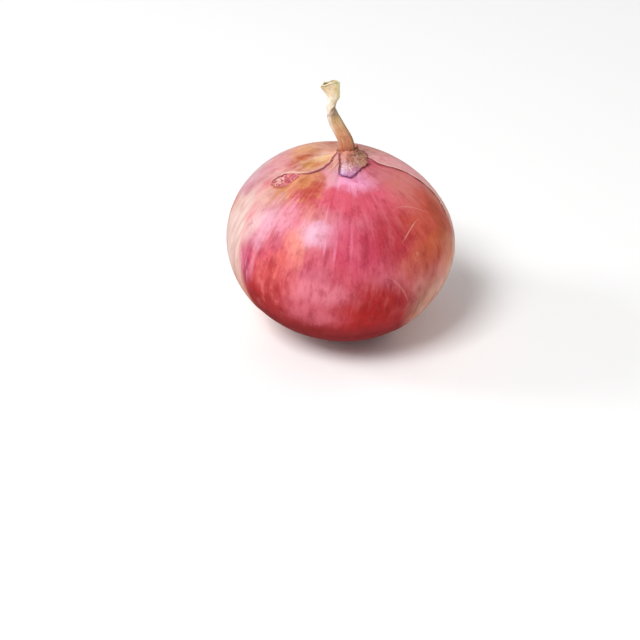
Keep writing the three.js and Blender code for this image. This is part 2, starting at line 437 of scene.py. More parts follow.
def thicken(piece, thickness):
    """Gives a sheet its thickness, inwards from the face that is modelled."""
    wall = piece.modifiers.new("thickness", "SOLIDIFY")
    wall.thickness, wall.offset = thickness * MM, -1
    wall.use_even_offset = False
    only(piece)
    bpy.ops.object.modifier_apply(modifier=wall.name)


def finish_shape(piece, points, thickness=0, **values):
    """Moves the vertices to upright points in mm, keeps their values, and makes the mesh smooth."""
    piece.data.vertices.foreach_set("co", stand_up(points).ravel())
    piece.data.update()
    keep_values(piece, **values)
    if thickness:
        thicken(piece, thickness)
    piece.data.polygons.foreach_set("use_smooth", np.ones(len(piece.data.polygons), dtype=bool))
    piece.data.update()
    return piece


def grow_on(piece, node):
    """Hangs the piece under the root body's empty, hides the solid that it stands for, and prints how many
    faces it has.
    """
    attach(piece, "root")
    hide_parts(node)
    print(piece.name, len(piece.data.polygons), "faces")


# %% [markdown]
# ## The torn edges
# The papery skin is torn open at the front. Both edges are lines of turn and fall from the neck
# down, with the same stations on each side: the sheet lies between them, round the back. The
# bulb needs them too, because a slit in its own skin opens just under the left edge.

# %% The two tears, as turn and fall in degrees
right_tear = [
    (62, 5.4), (38, 8.2), (20, 11), (8, 14), (5.5, 19), (8.5, 25), (8.5, 33), (7.5, 42),
    (3.8, 50.5), (-1.5, 57), (-7.5, 63), (-14.5, 68.5), (-23, 73), (-34, 77), (-46, 81),
    (-55, 87), (-60, 95), (-59, 106), (-54, 121), (-48, 136), (-43, 152),
]
left_tear = [
    (184, 4.6), (207, 7.0), (219.5, 11.3), (221.5, 15.8), (218, 20.6), (210, 24.9), (201, 28.7),
    (196, 33.2), (195.5, 39.5), (198, 46.5), (205, 56), (208, 65), (211, 75), (214, 85),
    (217, 95), (219, 105), (220, 114), (221, 124), (220.5, 134), (219.5, 143), (218, 152),
]
print(len(right_tear), "stations on each side")

# %% [markdown]
# ## The bulb
# On the real bulb this is the first living layer: tight, glossy and pink, with low ribs that run
# from neck to root and gather into pleats at the neck. It could be a spun outline, but ribs,
# pleats and the slit by the left tear break the roundness, so a fine sphere is shaped by the
# formula instead, with its relief added along the surface normal.

# %% The slit beside the left tear
slit_ends = [(-165.5, 42.8), (-150, 25.6)]
slit_middle = (-156, 33)  # turn and fall, as at its ends
slit_opening = 2.6
slit_depth = 0.26
slit_roundness = 1.1
slit_back = -2.6
slit_wrinkles = [(0.16, 0.55, 3.1), (0.112, 1.2, 5.5)]  # height, size, shift of the pattern
slit_lip_waves = [(0.25, 1.1, 2.7)]
slit_rim_height, slit_rim_width = 0.07, 0.36
slit_reach = 5
far_away = 9.0


def slit_frame():
    """Its left end, its length, and its directions along and across, towards the front."""
    turns, falls = np.radians(slit_ends).T
    ends = surface_point(turns, falls)
    along = ends[1] - ends[0]
    length = np.linalg.norm(along)
    along = along / length
    across = np.cross(along, outward_at(*np.radians(slit_middle)))
    return ends[0], length, along, across * -np.sign(across[1])


def slit_places(points):
    """For each point: how far along the slit (0 to 1), across it in mm, and where its lip is."""
    start, length, along, across = slit_frame()
    offset = points - start
    share = (offset @ along) / length
    inner = np.clip(share, 0, 1)
    lip = slit_opening * (4 * inner * (1 - inner)) ** slit_roundness
    return share, offset @ across, lip


def slit_relief(points):
    """The dip inside the slit, with crossed wrinkles, and its raised lip; and the dip's mask."""
    share, aside, lip = slit_places(points)
    tear = np.radians(through(left_tear, np.linspace(0, 0.6, 400)))
    near = (share > -0.3) & (share < 1.3) & (np.abs(aside) < slit_reach)
    from_tear = np.full(len(points), far_away)
    from_tear[near] = distance_to(points[near], surface_point(tear[:, 0], tear[:, 1]), 1)
    within = smooth_step(share, -0.02, 0.08) * smooth_step(share, 1.02, 0.9)
    lip = lip + waves(points, slit_lip_waves)
    inside = within * smooth_step(lip - aside, 0.0, 0.35) * smooth_step(aside, slit_back, slit_back + 0.6)
    rim = within * bell(aside - lip - 0.1, slit_rim_width) * (lip > 0.2)
    dip = inside * smooth_step(from_tear, 0.1, 1.0) * (waves(points, slit_wrinkles) - slit_depth)
    return dip + slit_rim_height * rim, inside, rim


# %% Ribs, pleats and the skin's slight unevenness
pressed_places = [  # turn, fall, degrees wide and tall either way, depth in mm
    (-14, 114, 42, 24, 1.0),
    (-4, 86, 34, 24, 0.35),
    (16, 54, 26, 18, 0.22),
    (140, 24, 40, 16, 0.2),
    (172, 48, 62, 26, 0.28),
    (-178, 85, 40, 30, 0.15),
]
rib_height, fine_rib_height = 0.035, 0.012
pleat_height, pleat_count, pleat_wander, pleat_reach = 0.13, 23, 3, 17
root_pleat_height, root_pleat_count = 0.10, 31
skin_sink = 0.06
bulb_columns, bulb_rows = 432, 216
front_crowding = 0.42  # draws the columns of faces towards the front


def flattening(turn, fall):
    """Where the bulb grew against its neighbours it is a little flatter."""
    total = np.zeros(np.broadcast(turn, fall).shape)
    for middle, level, wide, tall, depth in pressed_places:
        aside, below = np.degrees(turn_from(turn, middle)), np.degrees(fall) - level
        total += depth * np.exp(-((aside / wide) ** 2) - (below / tall) ** 2)
    return total


def rib_relief(turn, fall):
    """Low ribs from neck to root, pleats at both ends, and the pressed places."""
    wheel, fine = wheel_place(turn, 9, fall * 1.1), wheel_place(turn, 22, fall * 1.4)
    ribs = rib_height * rough(wheel, 1.0, 0.3) + fine_rib_height * rough(fine, 1.0, 5.7)
    pleats = pleat_height * np.cos(pleat_count * turn + pleat_wander * rough(wheel, 2.0, 8.1))
    near_neck = bell(np.degrees(fall), pleat_reach) * smooth_step(np.degrees(fall), 2, 8)
    root_pleats = root_pleat_height * np.cos(root_pleat_count * turn)
    near_root = smooth_step(np.degrees(fall), 150, 172)
    relief = ribs * np.sin(fall) + pleats * near_neck + near_root * root_pleats - skin_sink
    return relief - flattening(turn, fall)


def make_bulb():
    """A fine ball whose vertices are carried to the skin, with its ribs and the slit."""
    bpy.ops.mesh.primitive_uv_sphere_add(segments=bulb_columns, ring_count=bulb_rows, radius=1)
    piece, ball = new_piece("living_bulb")
    turn = np.arctan2(ball[:, 1], ball[:, 0])
    turn -= front_crowding * np.cos(turn)
    fall = np.arctan2(np.hypot(ball[:, 0], ball[:, 1]), ball[:, 2])
    dip, inside, rim = slit_relief(surface_point(turn, fall))
    points = skin_point(turn, fall, rib_relief(turn, fall) + dip)
    return finish_shape(piece, points, skin_place=skin_place(turn, fall), slit=inside, slit_rim=rim)


bulb = make_bulb()
grow_on(bulb, "bulb")

# %% [markdown]
# ## The outer skin
# The outer skin is dry paper about a tenth of a millimetre thick. It hugs the bulb everywhere
# but along its tears, where it has dried, drawn back and lifted. A copy of the bulb with a hole
# cut in it would give a clean edge; a sheet laid between the two torn lines gives an edge that
# can wander, curl and fray. Solidify gives it its thickness at the end.

# %% Shape the sheet between the tears
skin_thickness = 0.12
skin_columns, skin_rows = 116, 384
edge_waves = [(0.16, 1.3), (0.09, 0.45)]  # a torn edge's wander: height and size
hem_waves = [(2.6, 3.2, 1.7), (1.1, 0.9, 6.0)]  # the lower hem's: degrees, size, shift
hem_radius = 14
curl_width, curl_power = 1.1, 1.4
curl_right, curl_left, curl_left_by_slit = 0.10, 0.16, 0.7
curl_least, curl_wave = 0.65, 0.55
# These widths set the dark line along each tear, partly the torn edge's own colour and partly painted
# shadow under the lifted edge.
right_line, right_line_loss, line_wave = 0.13, 0.05, 0.35
crumple_height, tuck, thinning = 0.03, 0.04, 2.4
crisp_right, crisp_left = (60, 6), (42, 3)  # where the tear turns soft, degrees either way
blend_left, blend_right, blend_right_low = 3.0, 1.6, 5.0
left_line_stations = [  # fall, width of the dark line in mm
    (0, 0.30), (12, 0.46), (20, 0.44), (25, 0.14), (27, -0.2), (31, -0.1), (33.5, 0.25),
    (36, 0.38), (41.5, 0.38), (43.5, 0.1), (45, -0.1),
]
edge_crowding = 0.85


def frayed(side, points):
    """A torn edge's small wander, in millimetres."""
    return waves(points, [(*row, side + 4 * index) for index, row in enumerate(edge_waves)])


def tear_line(stations, side, share):
    """A tear with its wander, and the points of the surface that it runs through."""
    turn, fall = np.radians(through(stations, share)).T
    points = surface_point(turn, fall)
    turn = turn + side * frayed(side, points) / np.maximum(half_width * np.sin(fall), 4.0)
    fall = fall + 0.5 * frayed(side + 9, points) / half_width
    return (turn, fall), surface_point(turn, fall)


def skin_edges(across, along):
    """Each vertex's turn and fall on the sheet, and how far it is from each tear, in mm."""
    steps = np.linspace(0, 1, 1200)
    right, right_points = tear_line(right_tear, 1.0, steps)
    left, left_points = tear_line(left_tear, -1.0, steps)
    start, end = (np.array([np.interp(along, steps, row) for row in tear]) for tear in (right, left))
    turn, fall = start + (end - start) * across
    fall += np.radians(waves(wheel_place(turn, hem_radius), hem_waves)) * along**10
    plain = surface_point(turn, fall)
    return turn, fall, distance_to(plain, right_points, 3), distance_to(plain, left_points, 3)


def make_outer_skin():
    """A sheet between the tears: lifted and curled along them where they are crisp."""
    bpy.ops.mesh.primitive_grid_add(x_subdivisions=skin_columns, y_subdivisions=skin_rows, size=1)
    piece, grid = new_piece("papery_skin")
    across, along = grid[:, 0] + 0.5, 0.5 - grid[:, 1]
    across = (1 - edge_crowding) * across + edge_crowding * (0.5 - 0.5 * np.cos(math.pi * across))
    turn, fall, from_right, from_left = skin_edges(across, along)
    plain, degrees = surface_point(turn, fall), np.degrees(fall)
    from_tear, on_right = np.minimum(from_right, from_left), from_right < from_left
    crisp_end, crisp_fade = np.where(on_right[:, None], crisp_right, crisp_left).T
    crisp = smooth_step(degrees, crisp_end + crisp_fade, crisp_end - crisp_fade)
    by_slit = smooth_step(degrees, 20, 26) * (1 - on_right)
    curl_height = np.where(on_right, curl_right, curl_left * (1 - curl_left_by_slit * by_slit))
    curl = curl_height * (curl_least + curl_wave * rough(plain, 2.6, 2.2)) * crisp
    curl *= bell(from_tear, curl_width, curl_power) * smooth_step(degrees, 3, 10)
    left_line = np.interp(degrees, *zip(*left_line_stations))
    thick_line = np.where(on_right, right_line - right_line_loss * smooth_step(degrees, 12, 26), left_line)
    line_width = crisp * thick_line * (1 + line_wave * rough(plain, 0.8, 6.1))
    thinned = crisp + (1 - crisp) * smooth_step(from_tear, 0.0, thinning)
    crumple = crumple_height * np.abs(rough(plain * [1, 1, 0.6], 1.7, 9.0))
    lift = (skin_thickness + crumple) * thinned - tuck * (1 - thinned)
    points = skin_point(turn, fall, rib_relief(turn, fall) + lift + curl)
    wide_blend = blend_right + blend_right_low * smooth_step(degrees, 64, 84)
    return finish_shape(piece, points, skin_thickness, skin_place=skin_place(turn, fall),
                        from_tear=from_tear, crisp=crisp, line_width=line_width,
                        blend_width=np.where(on_right, wide_blend, blend_left))


outer_skin = make_outer_skin()
grow_on(outer_skin, "outer_skin")

# %% [markdown]
# ## The dried leaf
# What is left of the leaves is a flattened tube of dry fibre. It leaves the neck, leans to the
# left, turns over once where it is narrowest, and flares at its open, ragged tip. A ring is
# extruded straight up in even steps, which makes a plain tube with regular faces; the rings are
# then carried along the leaf's path, pressed flat, turned and given their creases.

# %% Its path, widths and twist
leaf_path = [
    (-1.6, 0, 20.4), (-1.85, 0, 22), (-2.4, 0, 24.2), (-4.2, 0.3, 26.8), (-5.8, 0.5, 29.2),
    (-6.5, 0.2, 31.5), (-6.45, -0.2, 34), (-7.0, -0.2, 35.6), (-7.7, -0.1, 37.15),
]
leaf_stations = [  # share of the length, width, thickness, twist in degrees
    (0, 3.6, 1.9, 0), (0.12, 3.55, 1.8, 0), (0.24, 3.15, 1.5, 0), (0.42, 2.9, 1.3, 0),
    (0.52, 2.5, 1.5, 26), (0.61, 2.5, 1.85, 84), (0.70, 2.25, 1.65, 138),
    (0.77, 3.15, 1.45, 155), (0.83, 3.4, 1.4, 163), (0.94, 3.95, 1.2, 174),
    (1, 4.05, 0.95, 180),
]
leaf_sides, leaf_rings = 72, 150
leaf_thickness = 0.16
leaf_flatness = 1.25
leaf_creases = [(0.055, 0.55, 1.3), (0.10, 1.7, 4.4)]  # height, size, shift of the pattern
leaf_sag = 0.12
lip_roll_height = 0.22
tip_tatters = [(0.35, 0.55, 7)]  # the same
tip_loss, tip_corner_loss, tip_corner_power = 0.1, 0.85, 5


def leaf_sizes(share):
    """The leaf's width, thickness and twist at each share of its length."""
    table = np.array(leaf_stations)
    upper = np.clip(np.searchsorted(table[:, 0], share), 1, len(table) - 1)
    low, high = table[upper - 1], table[upper]
    step = smooth_step(share, low[:, 0], high[:, 0])[:, None]
    width, thickness, twist = (low + (high - low) * step)[:, 1:].T
    return width, thickness, np.radians(twist)


def extrude_tube(name, sides, rings):
    """A straight open tube of radius 1 from z = 0 to 1, extruded ring by ring."""
    bpy.ops.mesh.primitive_circle_add(vertices=sides, radius=1, fill_type="NOTHING")
    piece = bpy.context.object
    piece.name = name
    bpy.ops.object.mode_set(mode="EDIT")
    bpy.ops.mesh.select_all(action="SELECT")
    for _ in range(rings):
        bpy.ops.mesh.extrude_region_move(TRANSFORM_OT_translate={"value": (0, 0, 1 / rings)})
    bpy.ops.mesh.select_all(action="SELECT")
    bpy.ops.mesh.normals_make_consistent(inside=False)
    bpy.ops.object.mode_set(mode="OBJECT")
    return piece


def path_frames(path, share):
    """The path's points, and its directions across (to +X), deep (to +Y) and along."""
    step = 0.004
    point = through(path, share)
    ahead = through(path, np.minimum(share + step, 1)) - through(path, np.maximum(share - step, 0))
    along = ahead / np.linalg.norm(ahead, axis=1, keepdims=True)
    across = np.cross(np.array([0.0, 1.0, 0.0]), along)
    across /= np.linalg.norm(across, axis=1, keepdims=True)
    return point, across, np.cross(along, across), along


def make_leaf():
    """A tube pressed flat, creased, torn at its tip, and turned as it follows the leaf's path."""
    piece = extrude_tube("twisted_leaf", leaf_sides, leaf_rings)
    tube = read_vertices(piece)
    share, angle = tube[:, 2], np.arctan2(tube[:, 1], tube[:, 0])
    width, thickness, twist = leaf_sizes(share)
    flat = np.sign(np.sin(angle)) * np.abs(np.sin(angle)) ** leaf_flatness
    corners = np.abs(np.cos(angle)) ** tip_corner_power
    ragged = waves(wheel_place(angle), tip_tatters) - tip_loss - tip_corner_loss * corners
    ragged *= smooth_step(share, 0.9, 1)
    lip = smooth_step(share, 0.955, 0.975) * smooth_step(share, 1.0, 0.98) * (np.sin(angle) > 0)
    fibre = np.stack([np.cos(angle) * 5, np.sin(angle) * 2.5, share * 3.5], axis=-1)
    crease = waves(fibre, leaf_creases)
    sag = leaf_sag * np.cos(angle) ** 2 * np.sin(angle) * smooth_step(share, 0.1, 0.3)
    side = np.cos(angle) * (width / 2 + crease * 0.6)
    front = flat * (thickness / 2 + crease + lip_roll_height * lip) - sag
    point, across, deep, along = path_frames(leaf_path, share)
    turned_side = side * np.cos(twist) - front * np.sin(twist)
    turned_front = side * np.sin(twist) + front * np.cos(twist)
    points = point + across * turned_side[:, None] + deep * turned_front[:, None]
    points += along * ragged[:, None]
    return finish_shape(piece, points, leaf_thickness, leaf_place=wheel_place(angle, 1.0, share))


leaf = make_leaf()
grow_on(leaf, "dry_leaf")

# %% [markdown]
# ## The neck collar
# Round the leaf's foot sits a scrap of the old sheath. It stands up in a torn, crumbly rim and
# hangs down at the front in a tongue with a dark edge. It is a sheet as well, laid from its
# torn hem up over the neck, and then roughened strongly, because this scrap has no smooth part.

# %% Shape the collar
collar_hem = [  # turn, fall, in degrees
    (-168, 4.2), (-150, 4.2), (-136, 5.2), (-126, 6.4), (-114, 9.3), (-108, 13.4), (-105.5, 14.9),
    (-101, 15.5), (-95, 15.7), (-88, 15.8), (-84, 15.9), (-78, 14.2), (-69, 12.1), (-49, 9.9),
    (-24, 9.7), (-14, 10.1), (-9, 9.4), (2, 7.6), (12, 8.6), (33, 10.6), (52, 10.6), (66, 7.6),
    (105, 6.2), (145, 5.4), (176, 4.6),
]
collar_top_fall = 4.0
collar_fold = 0.36
collar_top = (-1.95, 0.0, 22.6)
collar_top_width, collar_top_depth = 1.95, 1.15
collar_columns, collar_rows = 360, 90
collar_thickness = 0.16
collar_lift, collar_hem_lift = 0.20, 0.10
collar_ribs = 0.3  # how much of the bulb's relief shows through
hem_circle, rim_circle = 7, 3  # the circles that the patterns of the hem and the rim run round
hem_tatters = [(0.30, 1.0, 2.4), (0.26, 0.35, 5.5)]  # degrees, size, shift of the pattern
rim_tatters = [(0.5, 0.9, 9.9), (0.22, 0.22, 3.3)]  # height, size, shift
rim_spread, rim_waves = 0.14, [(0.12, 0.4, 1.2)]
knob_turn, knob_width, knob_height, knob_spread = -8, 26, 0.9, 0.15
leaf_side_width, leaf_side_drop, leaf_side_tuck = 55, 1.3, 0.25
fold_waves = [(0.22, 0.85, 3.0)]
crumbly_turn = -2
crumb_sizes = [  # height, what is added where it is crumbly, size, shift
    (0.09, 0.10, 0.5, 1.1),
    (0.05, 0.06, 0.26, 6.6),
]
rolled_hem, rolled_hem_width = 0.10, 0.3
collar_ink_stations = [  # turn, width of the dark line in mm
    (-150, -0.1), (-134, 0.40), (-112, 0.52), (-104, 0.46), (-96, 0.26), (-82, 0.34),
    (-66, 0.08), (-34, 0.06), (-20, 0.34), (-10, 0.5), (0, 0.1), (14, -0.1), (26, 0.46),
    (52, 0.50), (60, -0.1), (90, -0.1), (176, -0.1),
]


def collar_rim(turn, wheel, knob):
    """The torn rim round the leaf: it stands out at the knob and sinks beside the leaf."""
    leaf_side = bell(np.abs(turn) - math.pi, math.radians(leaf_side_width))
    spread = rim_spread + waves(wheel * rim_circle, rim_waves) + knob_spread * knob
    rim = np.array(collar_top) + wheel * [collar_top_width, collar_top_depth, 0]
    rim += wheel * (spread - leaf_side_tuck * leaf_side)[:, None]
    rim[:, 2] += knob_height * knob - leaf_side_drop * leaf_side
    return rim


def make_collar():
    """A sheet from the torn hem over the neck to the rim, with folds, crumbs and a rolled hem."""
    bpy.ops.mesh.primitive_grid_add(x_subdivisions=collar_columns, y_subdivisions=collar_rows, size=1)
    piece, grid = new_piece("torn_collar")
    round_it, height = grid[:, 0] + 0.5, grid[:, 1] + 0.5
    hem_turn, hem_fall = through(collar_hem, round_it).T
    turn = np.radians(hem_turn)
    wheel = wheel_place(turn)
    shoulder = np.minimum(height / (1 - collar_fold), 1)
    stand = np.maximum(height - (1 - collar_fold), 0) / collar_fold
    top_fall = np.minimum(collar_top_fall, hem_fall - 0.3)
    frayed_hem = hem_fall + waves(wheel * hem_circle, hem_tatters)
    fall = np.radians(frayed_hem * (1 - shoulder) + top_fall * shoulder)
    lift = collar_lift + collar_thickness + collar_hem_lift * (1 - shoulder) ** 3
    foot = skin_point(turn, fall, collar_ribs * rib_relief(turn, fall) + lift)
    knob = bell(turn - math.radians(knob_turn), math.radians(knob_width))
    rise, closing = np.sin(stand * math.pi / 2), 1 - np.cos(stand * math.pi / 2)
    inward = 0.5 * rise + 0.5 * closing
    level = foot + (collar_rim(turn, wheel, knob) - foot) * np.stack([inward, inward, rise], axis=-1)
    level[:, 2] += waves(wheel * rim_circle, rim_tatters) * smooth_step(stand, 0.5, 1)
    crumbly = smooth_step(np.cos(turn - math.radians(crumbly_turn)), 0.35, 0.85)
    crumbly *= smooth_step(height, 0.18, 0.4)
    out = wheel * stand[:, None] + outward_at(turn, fall) * (1 - stand[:, None])
    folds = waves(level, fold_waves) * smooth_step(height, 0.2, 0.5)
    crumbs = waves(level, [(low + more * crumbly, *rest) for low, more, *rest in crumb_sizes])
    inked = np.interp(np.degrees(turn), *zip(*collar_ink_stations))
    from_hem = distance_to(level, level[height < 1e-6], 1)
    roll = rolled_hem * bell(from_hem, rolled_hem_width) * (inked > 0.1)
    level += out * (folds + crumbs + roll)[:, None]
    return finish_shape(piece, level, collar_thickness, skin_place=skin_place(turn, fall * (1 - stand)),
                        from_hem=from_hem, height=height, inked=inked, crumbly=crumbly,
                        knob=knob * smooth_step(height, 0.6, 0.8))


collar = make_collar()
grow_on(collar, "neck_collar")

# %% [markdown]
# ## The roots
# Under the bulb sits a corky plate, pressed flat by the weight on it, and dry wiry roots come
# out all round it, longer on the side that the lean lifts off the floor. One root is modelled
# as a thin tube and copied; each copy is bent by its own seeded draw.

# %% The root plate
plate_radius, plate_height = 3.7, 0.9
plate_columns, plate_rows = 96, 48
plate_waver, plate_gap = 0.06, 0.1
plate_bumps = [(0.12, 0.5, 1.0)]


def belly_fall(radius):
    return math.pi - np.arcsin((radius / half_width) ** (1 / fullness))


def make_plate():
    bpy.ops.mesh.primitive_uv_sphere_add(segments=plate_columns, ring_count=plate_rows, radius=1)
    piece, ball = new_piece("root_plate")
    turn = np.arctan2(ball[:, 1], ball[:, 0])
    ring = np.hypot(ball[:, 0], ball[:, 1])
    radius = plate_radius * ring * (1 + plate_waver * rough(ball * 4, 1.0, 2.0))
    ceiling = surface_point(turn, belly_fall(np.maximum(radius, 0.05)))[:, 2] - plate_gap
    floor_here = (-middle_height + radius * np.cos(turn) * math.sin(lean)) / math.cos(lean)
    rising = (1 - np.abs(ball[:, 2])) * plate_height
    height = np.where(ball[:, 2] > 0, ceiling, floor_here + rising)
    bumps = waves(wheel_place(turn, radius, height), plate_bumps)
    points = wheel_place(turn, radius, height + bumps)
    return finish_shape(piece, points, root_share=np.zeros(len(points)))


# %% The root strands
root_count = 84
root_sides, root_rings = 6, 14
root_start = 0.55 * plate_radius
root_thickness = (0.24, 0.42)
root_hang, root_hang_range = 0.12, (0.05, 0.9)
root_sway, root_curl, root_jitter, root_wave = 0.35, 1.5, 0.4, 0.05
root_reach, root_reach_lifted, root_reach_range = 5.0, 4.6, (-1.2, 1.0)
root_taper, root_end = 0.55, 0.2
root_start_share = 0.15  # of the way from the plate's colour to the strand's
root_draw = np.random.default_rng(4907)


def bend_root(piece, turn, reach, thick):
    """Carries a straight tube out from the plate, under the belly, with its own sway."""
    tube = read_vertices(piece)
    share, angle = tube[:, 2], np.arctan2(tube[:, 1], tube[:, 0])
    sway = root_draw.uniform(-root_sway, root_sway)
    curl = root_draw.uniform(-root_curl, root_curl)
    hang_most = root_draw.uniform(*root_hang_range)
    way = turn + sway * share**2 + root_wave * np.sin(5 * share + curl)
    radius = root_start + (reach - root_start) * share
    hang = root_hang + thick / 2 + hang_most * np.sin(math.pi * np.minimum(share * 1.1, 1))
    centre = skin_point(way, belly_fall(radius), hang)
    taper = thick / 2 * (1 - root_taper * share) * np.where(share > 0.999, root_end, 1)
    sideways = np.stack([-np.sin(way), np.cos(way), 0 * way], axis=-1)
    over = outward_at(way, belly_fall(radius))
    bent = sideways * (np.cos(angle) * taper)[:, None] + over * (np.sin(angle) * taper)[:, None]
    finish_shape(piece, centre + bent, root_share=root_start_share + (1 - root_start_share) * share)


def make_roots():
    plate = make_plate()
    strand = extrude_tube("root_strand", root_sides, root_rings)
    copies = []
    for index in range(root_count):
        copy = strand.copy()
        copy.data = strand.data.copy()
        bpy.context.collection.objects.link(copy)
        turn = 2 * math.pi * (index + root_draw.uniform(-root_jitter, root_jitter)) / root_count
        lifted = 0.5 - 0.5 * math.cos(turn)
        reach = root_reach + root_reach_lifted * lifted + root_draw.uniform(*root_reach_range) * lifted
        bend_root(copy, turn, reach, root_draw.uniform(*root_thickness))
        copies.append(copy)
    bpy.data.objects.remove(strand)
    only(plate)
    for copy in copies:
        copy.select_set(True)
    bpy.ops.object.join()
    plate.name = "root_fringe"
    return plate


roots = make_roots()
grow_on(roots, "roots")

# %% [markdown]
# ## Patches of colour on a bulb
# An onion skin is never one pink: where it faced the light, dried or bruised it is gold, crimson
# or mauve, and each patch frays into the next along the streaks. A patch here is an oval round a
# turn and a fall, wider or taller as it needs, whose border is pushed about by streaky noise. The
# pale lilac patches on the near shoulder are partly painted highlight, and the deeper red towards
# the bottom is partly painted shade.

# %% Streaks and patches
patch_softness = 0.6
blotchy_grain, streaky_grain = (270, 270, 210), (30, 30, 6)
streaky_shift, streaky_share = (4, 2, 7), (0.45, 0.45, 0.45)
wide_fray, slight_fray = (0.16, 0.16, 0.08), (0.03, 0.03, 0.03)


def streaks(finish, place, round_it, down_it, shift, detail=2.0):
    """Noise drawn out from neck to root: how many round the bulb, and how many down it."""
    return finish.noise(finish.stretch(place, (round_it, round_it, down_it), shift), detail)


def far_from(finish, place, turn, fall, wide, tall):
    """How far a place is from a turn and a fall, as a share of an oval's size in degrees."""
    turn, wide = math.radians(turn), math.radians(wide)
    centre = (math.cos(turn) / wide, math.sin(turn) / wide, fall / tall)
    scaled = finish.vector("MULTIPLY", place, (1 / wide, 1 / wide, 180 / tall))
    return finish.vector("DISTANCE", scaled, centre)


def patch(finish, place, *oval):
    """1 inside an oval of the bulb's skin, 0 outside it; the sizes are degrees either way."""
    return finish.span(far_from(finish, place, *oval), 1 + patch_softness, 1 - patch_softness)


def lay_patches(finish, place, under, patches):
    for *oval, code, strength in patches:
        share = finish.both(patch(finish, place, *oval), strength)
        under = finish.blend(share, under, colour(code))
    return under


def frayed_place(finish, place, amount):
    """The place on the skin, pushed about by streaks, so that a patch's border frays."""
    body = finish.node("TexCoord", {}).outputs["Object"]
    blotchy = finish.noise_way(finish.stretch(body, blotchy_grain), 4.0)
    streaky = finish.noise_way(finish.stretch(place, streaky_grain, streaky_shift), 2.0)
    pushed = finish.vector("ADD", blotchy, finish.vector("MULTIPLY", streaky, streaky_share))
    return finish.vector("ADD", place, finish.vector("MULTIPLY", pushed, amount))


def broad_streaks(finish, place, count, shift, codes):
    """The wide streaks under everything else, in two colours."""
    broad = streaks(finish, place, *count, shift, 3.0)
    return finish.blend(finish.span(broad, 0.35, 0.7), *map(colour, codes))


def measures_of(finish, place, streaky, grainy, ovals):
    """A finish's streaks, grains and places, each made from its row and kept by its name."""
    found = {name: streaks(finish, place, *row) for name, row in streaky.items()}
    found.update((name, finish.grain(*row)) for name, row in grainy.items())
    found.update((name, patch(finish, place, *row)) for name, row in ovals.items())
    return found


# %% The living skin's finish
living_patches = [  # turn, fall, degrees wide and tall either way, colour, strength
    (-84, 30, 34, 9, "#E2586F", 0.8),
    (-50, 32, 18, 10, "#ED6079", 0.6),
    (-14, 30, 26, 13, "#E27E74", 0.8),
    (-85, 16, 52, 7, "#FFAED6", 0.85),
    (-112, 13, 8, 5, "#DBA4C6", 0.8),
    (-116, 17, 14, 6, "#E09E98", 0.6),
    (-25, 17, 30, 7, "#D97778", 0.7),
    (-35, 52, 26, 15, "#D44E30", 0.85),
    (-10, 49, 14, 14, "#CC3C0C", 0.9),
    (-28, 64, 22, 8, "#D45E22", 0.75),
    (-30, 83, 24, 8, "#F49E8C", 0.8),
    (6, 60, 10, 18, "#D08A66", 0.85),
    (-12, 78, 10, 9, "#E2A088", 0.9),
    (-42, 93, 12, 12, "#C47766", 0.85),
    (-138, 25, 18, 8, "#D18E5A", 0.85),
    (-124, 31, 9, 9, "#BA3B2C", 0.8),
    (-141, 27, 6, 3.5, "#BC673C", 0.7),
    (-148, 42, 8, 8, "#C78C57", 0.85),
    # pale lilac at the left of the shoulder: partly the skin's own tone, partly a painted highlight
    (-142, 55, 8, 12, "#C8899E", 0.85),
    (-131, 52, 7, 12, "#DE91A7", 0.7),
    # pale lilac on the near shoulder, this row and the next: partly the skin's own tone, partly a painted
    # highlight
    (-105, 50, 13, 7, "#DA8CA8", 0.75),
    (-110, 52.5, 9, 6, "#D08EAC", 0.75),
    (-92, 46, 8, 8, "#E2708C", 0.6),
    (-114, 42, 10, 4, "#D4726F", 0.75),
    (-105, 40, 8, 4, "#D2687A", 0.7),
    (-119, 64, 6, 12, "#E8907E", 0.8),
    (-123, 72, 8, 10, "#F38589", 0.6),
    (-84, 57, 16, 13, "#D23C60", 0.75),
    (-62, 52, 14, 15, "#C2293E", 0.75),
    (-102, 86, 13, 14, "#E4788A", 0.85),
    (-103, 75, 10, 4.5, "#C85870", 0.65),
    (-86, 74, 10, 6, "#C80030", 0.45),
    (-84, 84, 7, 5, "#DA586C", 0.6),
    (-146, 86, 7, 20, "#C45979", 0.85),
    (-127, 87, 12, 21, "#C73E3C", 0.85),
    (-134, 73, 5, 6, "#CE506C", 0.7),
    (-70, 91, 15, 15, "#B70505", 0.95),
    (-84, 102, 22, 11, "#C30004", 0.9),
    (-48, 69, 13, 9, "#CF583D", 0.8),
    (-158, 49, 8, 8, "#D4A59C", 0.9),
    (-151, 66, 5, 13, "#D3ADAA", 0.85),
    (-136, 9, 26, 5, "#DCA795", 0.9),
    (-104, 102, 16, 10, "#DE6678", 0.8),
    (-134, 108, 18, 12, "#A80000", 0.8),
    (-20, 69, 8, 8, "#DC7E5C", 0.9),
    (-24, 76, 9, 7, "#EC9274", 0.9),
    (-41, 78, 6, 6, "#D87C6C", 0.6),
    (-11, 47, 7, 4.5, "#BA3C00", 0.8),
    (-17, 54, 6, 5, "#BA4600", 0.8),
    (-22, 60, 7, 4, "#C25220", 0.7),
    (-141, 70, 5, 7, "#D08CA0", 0.85),
    (-131, 66, 6, 5, "#C0546C", 0.7),
]
